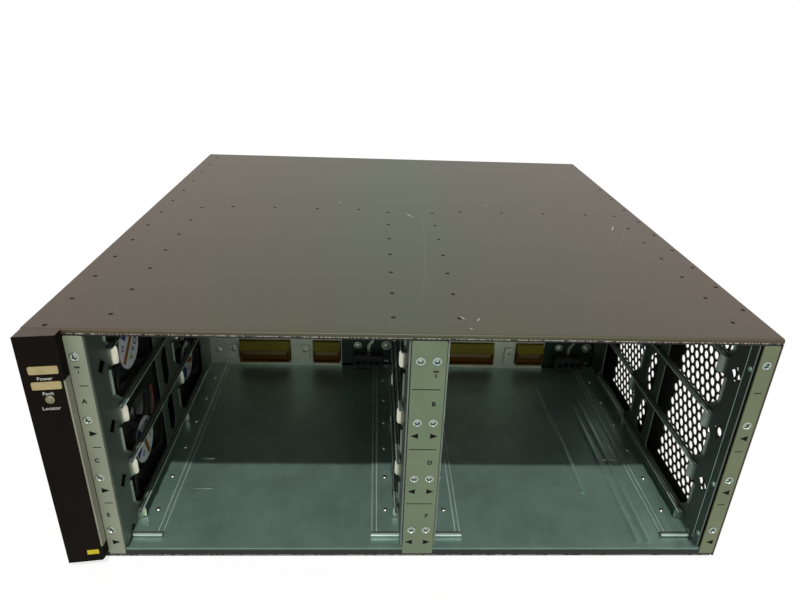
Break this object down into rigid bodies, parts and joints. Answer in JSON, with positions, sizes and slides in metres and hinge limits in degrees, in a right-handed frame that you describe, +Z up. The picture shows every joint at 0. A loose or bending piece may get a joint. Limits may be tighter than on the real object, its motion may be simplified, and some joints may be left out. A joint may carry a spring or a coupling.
{
  "type": "modular chassis switch",
  "caption": "Four-unit rack network chassis with two columns of empty module slots, an indicator bezel, a backplane and a fan tray that slides out of the rear.",
  "frame": {"origin": "bottom centre of the object", "axes": "+X to the right seen from the front, +Y from the module side to the rear, +Z up"},
  "size_m": [0.4444, 0.4819, 0.1753],
  "materials": {
    "black_paint": "semi-gloss baked paint",
    "zinc_sheet": "dull galvanised sheet",
    "strip_print": "satin printed overlay",
    "bezel_plastic": "fine moulded texture",
    "bracket_metal": "satin grey",
    "light_window": "translucent",
    "lamp_lens": "translucent",
    "circuit_board": "solder mask",
    "connector_plastic": "moulded",
    "black_connector": "moulded",
    "plated_screw": "zinc plated",
    "fan_plastic": "moulded",
    "rotor_plastic": "moulded"
  },
  "bodies": {
    "chassis": {"backplane_board": "circuit_board", "backplane_frame_left": "zinc_sheet", "backplane_frame_right": "zinc_sheet", "backplane_screws": "plated_screw", "bezel_bracket": "bracket_metal", "bottom_pan": "black_paint", "connector_posts": "zinc_sheet", "divider_guide_left": "zinc_sheet", "divider_guide_right": "zinc_sheet", "fault_window": "light_window", "floor_pan": "zinc_sheet", "floor_rivets": "plated_screw", "front_bezel": "bezel_plastic", "guide_left": "zinc_sheet", "guide_right": "zinc_sheet", "indicator_board": "circuit_board", "locator_lens": "lamp_lens", "power_connectors": "black_connector", "power_window": "light_window", "psu_bay_divider": "zinc_sheet", "psu_bay_roof": "zinc_sheet", "psu_cover_left": "black_paint", "psu_cover_right": "black_paint", "psu_cover_screws": "plated_screw", "rear_panel": "black_paint", "side_wall_left": "black_paint", "side_wall_right": "black_paint", "slot_connectors_long": "connector_plastic", "slot_connectors_short": "connector_plastic", "strip_centre": "strip_print", "strip_left": "strip_print", "strip_right": "strip_print", "top_cover": "black_paint", "tray_runner_lower": "zinc_sheet", "tray_runner_upper": "zinc_sheet"},
    "fan_tray": {"fan_tray_frame": "zinc_sheet", "fan_tray_plate": "black_paint", "fan_tray_handle": "plated_screw", "fan_tray_screws": "plated_screw", "fan_housing_1": "fan_plastic", "fan_housing_2": "fan_plastic", "fan_housing_3": "fan_plastic", "fan_housing_4": "fan_plastic"},
    "fan_rotor_1": {"fan_rotor_1": "rotor_plastic"},
    "fan_rotor_2": {"fan_rotor_2": "rotor_plastic"},
    "fan_rotor_3": {"fan_rotor_3": "rotor_plastic"},
    "fan_rotor_4": {"fan_rotor_4": "rotor_plastic"}
  },
  "joints": [
    {"name": "tray_slide", "type": "slide", "parent": "chassis", "child": "fan_tray", "axis": [0, 1, 0], "range_m": [0, 0.4]},
    {"name": "rotor_1_spin", "type": "hinge", "parent": "fan_tray", "child": "fan_rotor_1", "pos_m": [-0.2, -0.1639, 0.048], "axis": [1, 0, 0], "continuous": true},
    {"name": "rotor_2_spin", "type": "hinge", "parent": "fan_tray", "child": "fan_rotor_2", "pos_m": [-0.2, -0.0499, 0.048], "axis": [1, 0, 0], "continuous": true},
    {"name": "rotor_3_spin", "type": "hinge", "parent": "fan_tray", "child": "fan_rotor_3", "pos_m": [-0.2, -0.1639, 0.129], "axis": [1, 0, 0], "continuous": true},
    {"name": "rotor_4_spin", "type": "hinge", "parent": "fan_tray", "child": "fan_rotor_4", "pos_m": [-0.2, -0.0499, 0.129], "axis": [1, 0, 0], "continuous": true}
  ]
}
